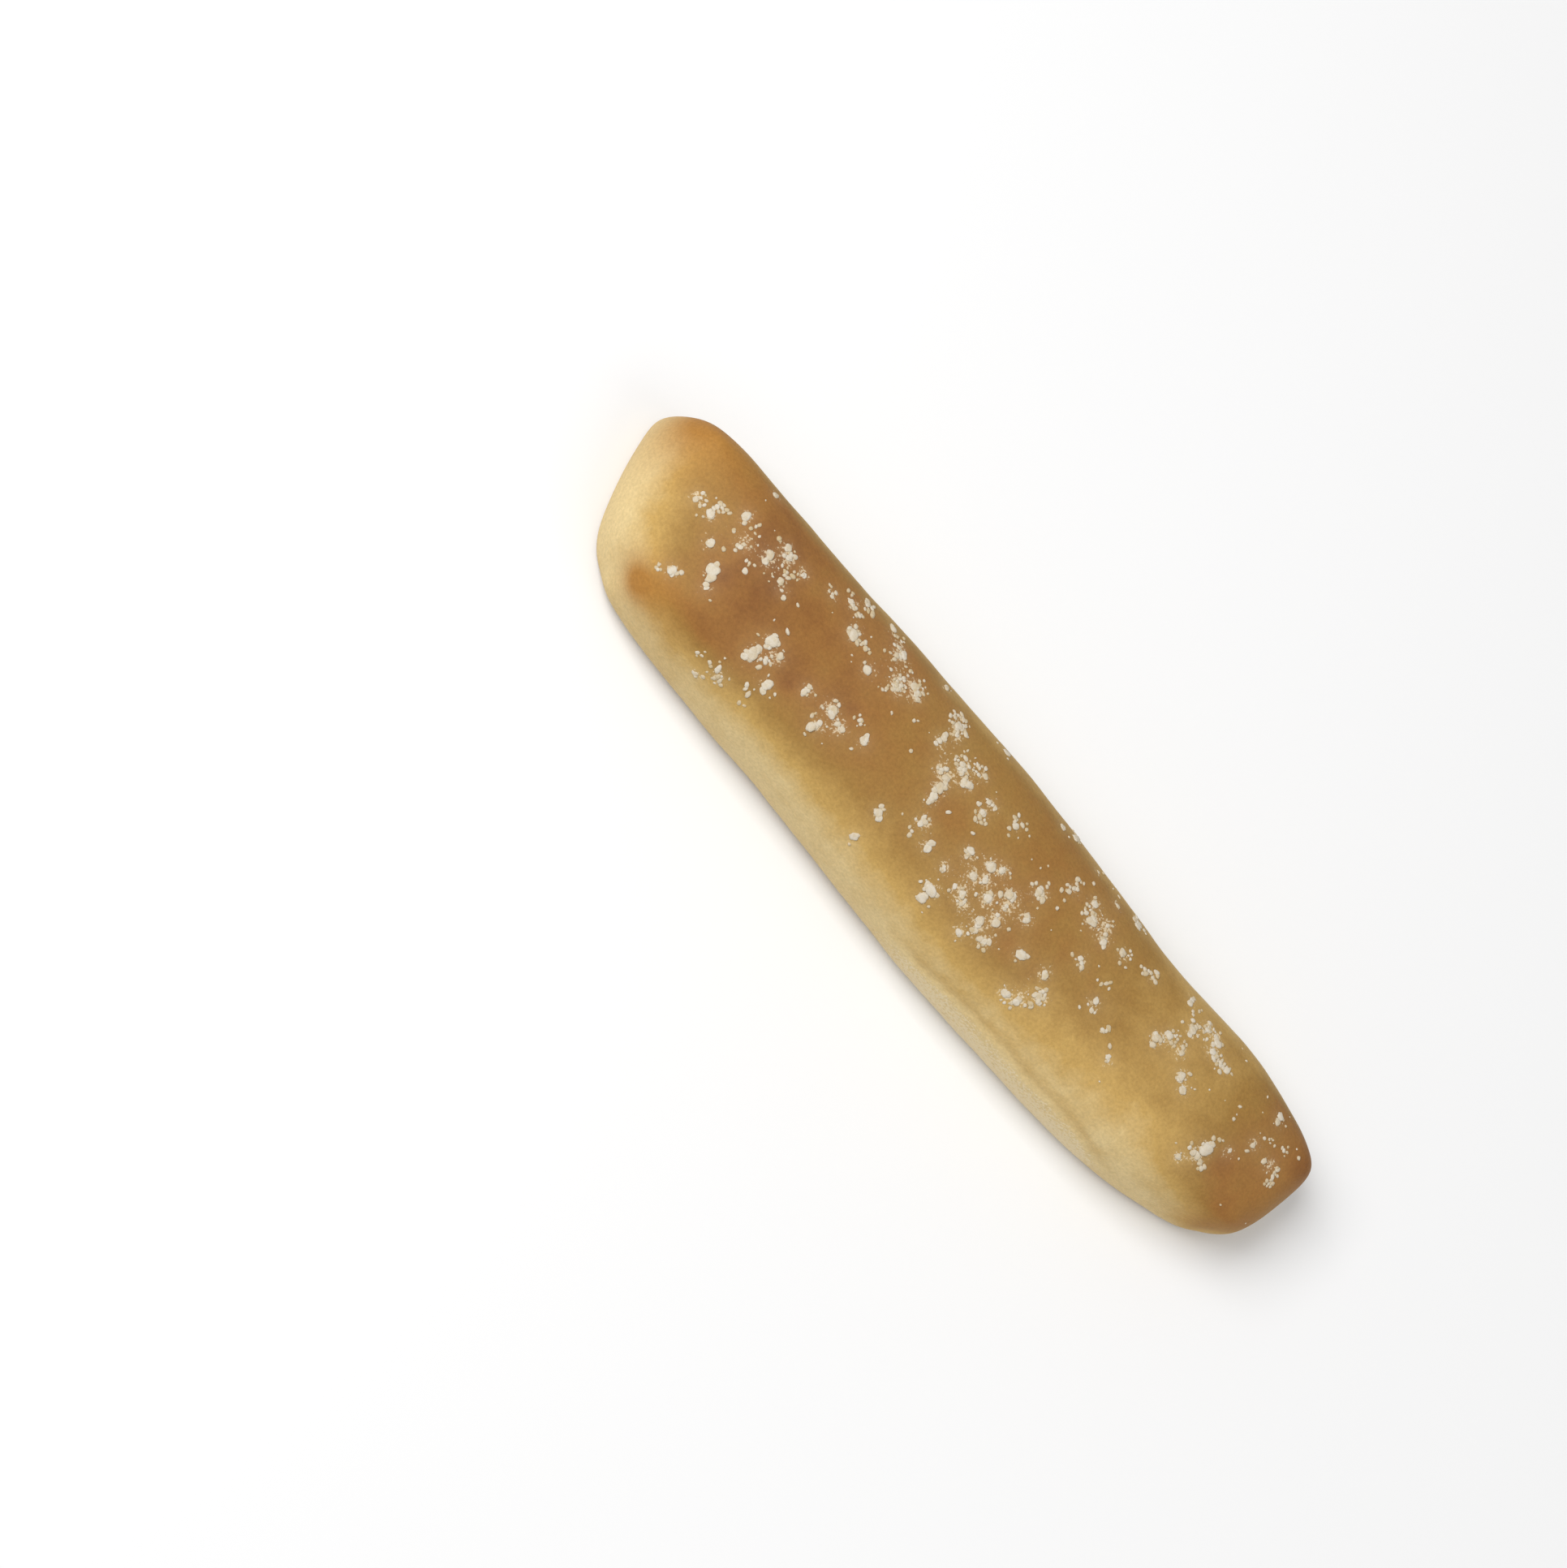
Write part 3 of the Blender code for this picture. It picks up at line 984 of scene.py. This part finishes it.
class BREADSTICK_OT_flour_lace(bpy.types.Operator):
    """Spread the lacy patches of flour round the clumps"""

    bl_idname = "breadstick.flour_lace"
    bl_label = "Flour lace"

    def execute(self, context):
        settings = context.scene.breadstick_flour
        tree, _, far = laid_clumps(bpy.data.objects["crust"], context)
        rng = random.Random(settings.seed + 3)
        patches = lay_out(tree, context.scene.breadstick_stage, LACE)
        patches += [((0, 0, 4, 3, rng.randint(3, 14)), landed) for _, landed in far]
        crumbs = []
        for row, landed in patches:
            crumbs += lace_crumbs(tree, row, landed, rng)
        new_flour("flour_lace", crumbs, settings, rng)
        return {"FINISHED"}


class BREADSTICK_OT_flour_grains(bpy.types.Operator):
    """Scatter the loose grains of flour"""

    bl_idname = "breadstick.flour_grains"
    bl_label = "Flour grains"

    def execute(self, context):
        scene = context.scene
        settings = scene.breadstick_flour
        tree, laid, _ = laid_clumps(bpy.data.objects["crust"], context)
        rng = random.Random(settings.seed + 2)
        stage = scene.breadstick_stage
        grains = loose_grains(tree, stage, laid, settings.coarse_grains, COARSE_RADII, rng)
        grains += loose_grains(tree, stage, laid, settings.fine_grains, FINE_RADII, rng)
        new_flour("flour_grains", grains, settings, rng)
        return {"FINISHED"}


def look_from(camera, eye, target, right):
    """Turns the camera at eye to face target, with right as near as can be to its own right."""
    back = (eye - target).normalized()
    right = (right - right.dot(back) * back).normalized()
    turned = Matrix((right, back.cross(right), back)).transposed().to_4x4()
    turned.translation = eye
    camera.matrix_world = turned


def add_camera(scene, settings):
    """The camera, with the stick sloping across its view."""
    eye, along, across = sight(settings)
    right = math.cos(settings.turn) * along + math.sin(settings.turn) * across
    up = -math.sin(settings.turn) * along + math.cos(settings.turn) * across
    data = bpy.data.cameras.new("camera")
    data.sensor_width = 36
    data.lens = data.sensor_width * settings.distance / settings.view_width
    data.clip_start = 0.01
    camera = bpy.data.objects.new("camera", data)
    scene.collection.objects.link(camera)
    look_from(camera, eye, MIDDLE - right * settings.right_shift + up * settings.down_shift, right)
    scene.camera = camera


def add_light(scene, name, place, size, power):
    """A square area light that faces the stick."""
    data = bpy.data.lights.new(name, "AREA")
    data.size = size
    data.energy = power
    light = bpy.data.objects.new(name, data)
    scene.collection.objects.link(light)
    look_from(light, Vector(place), MIDDLE, Vector((1, 0.2, 0)))


class BREADSTICK_OT_stage(bpy.types.Operator):
    """Set up the floor, the light and the camera"""

    bl_idname = "breadstick.stage"
    bl_label = "Stage"

    def execute(self, context):
        scene = context.scene
        settings = scene.breadstick_stage
        bm = bmesh.new()
        bmesh.ops.create_grid(bm, x_segments=1, y_segments=1, size=2)
        floor = new_piece("floor", bm)
        floor.location.z = LOW.z - FLOOR_GAP
        material, _, shader = new_material("floor")
        shader.inputs["Base Color"].default_value = (*settings.floor, 1)
        shader.inputs["Roughness"].default_value = 0.9
        shader.inputs["Specular IOR Level"].default_value = 0.1
        floor.data.materials.append(material)
        add_light(scene, "key", settings.key_place, settings.light_size, settings.key_power)
        add_light(scene, "fill", settings.fill_place, settings.light_size, settings.fill_power)
        world = bpy.data.worlds.new("studio")
        world.use_nodes = True
        background = world.node_tree.nodes["Background"]
        background.inputs["Color"].default_value = (1, 1, 1, 1)
        background.inputs["Strength"].default_value = settings.ambient
        scene.world = world
        scene.view_settings.view_transform = "Standard"
        add_camera(scene, settings)
        return {"FINISHED"}


class BREADSTICK_PT_pieces(bpy.types.Panel):
    """The breadstick's pieces and their settings"""

    bl_label = "Breadstick"
    bl_idname = "BREADSTICK_PT_pieces"
    bl_space_type = "VIEW_3D"
    bl_region_type = "UI"
    bl_category = "Breadstick"

    def draw(self, context):
        for operators, settings in PANEL_ROWS:
            box = self.layout.box()
            for operator in operators:
                box.operator(operator.bl_idname)
            group = getattr(context.scene, settings)
            for name in group.bl_rna.properties.keys():
                if name not in ("rna_type", "name"):
                    box.prop(group, name)


PANEL_ROWS = (
    ((BREADSTICK_OT_stage,), "breadstick_stage"),
    ((BREADSTICK_OT_crust,), "breadstick_crust"),
    ((BREADSTICK_OT_flour_clumps, BREADSTICK_OT_flour_lace, BREADSTICK_OT_flour_grains), "breadstick_flour"),
)
SETTINGS = {
    "breadstick_crust": CrustSettings,
    "breadstick_flour": FlourSettings,
    "breadstick_stage": StageSettings,
}
CLASSES = (
    *SETTINGS.values(),
    BREADSTICK_OT_stage,
    BREADSTICK_OT_crust,
    BREADSTICK_OT_flour_clumps,
    BREADSTICK_OT_flour_lace,
    BREADSTICK_OT_flour_grains,
    BREADSTICK_PT_pieces,
)


def register():
    for cls in CLASSES:
        bpy.utils.register_class(cls)
    for name, cls in SETTINGS.items():
        setattr(bpy.types.Scene, name, PointerProperty(type=cls))


def unregister():
    for name in SETTINGS:
        delattr(bpy.types.Scene, name)
    for cls in reversed(CLASSES):
        bpy.utils.unregister_class(cls)


def main():
    register()
    bpy.ops.breadstick.stage()
    bpy.ops.breadstick.crust()
    bpy.ops.breadstick.flour_clumps()
    bpy.ops.breadstick.flour_lace()
    bpy.ops.breadstick.flour_grains()


if __name__ == "__main__":
    main()
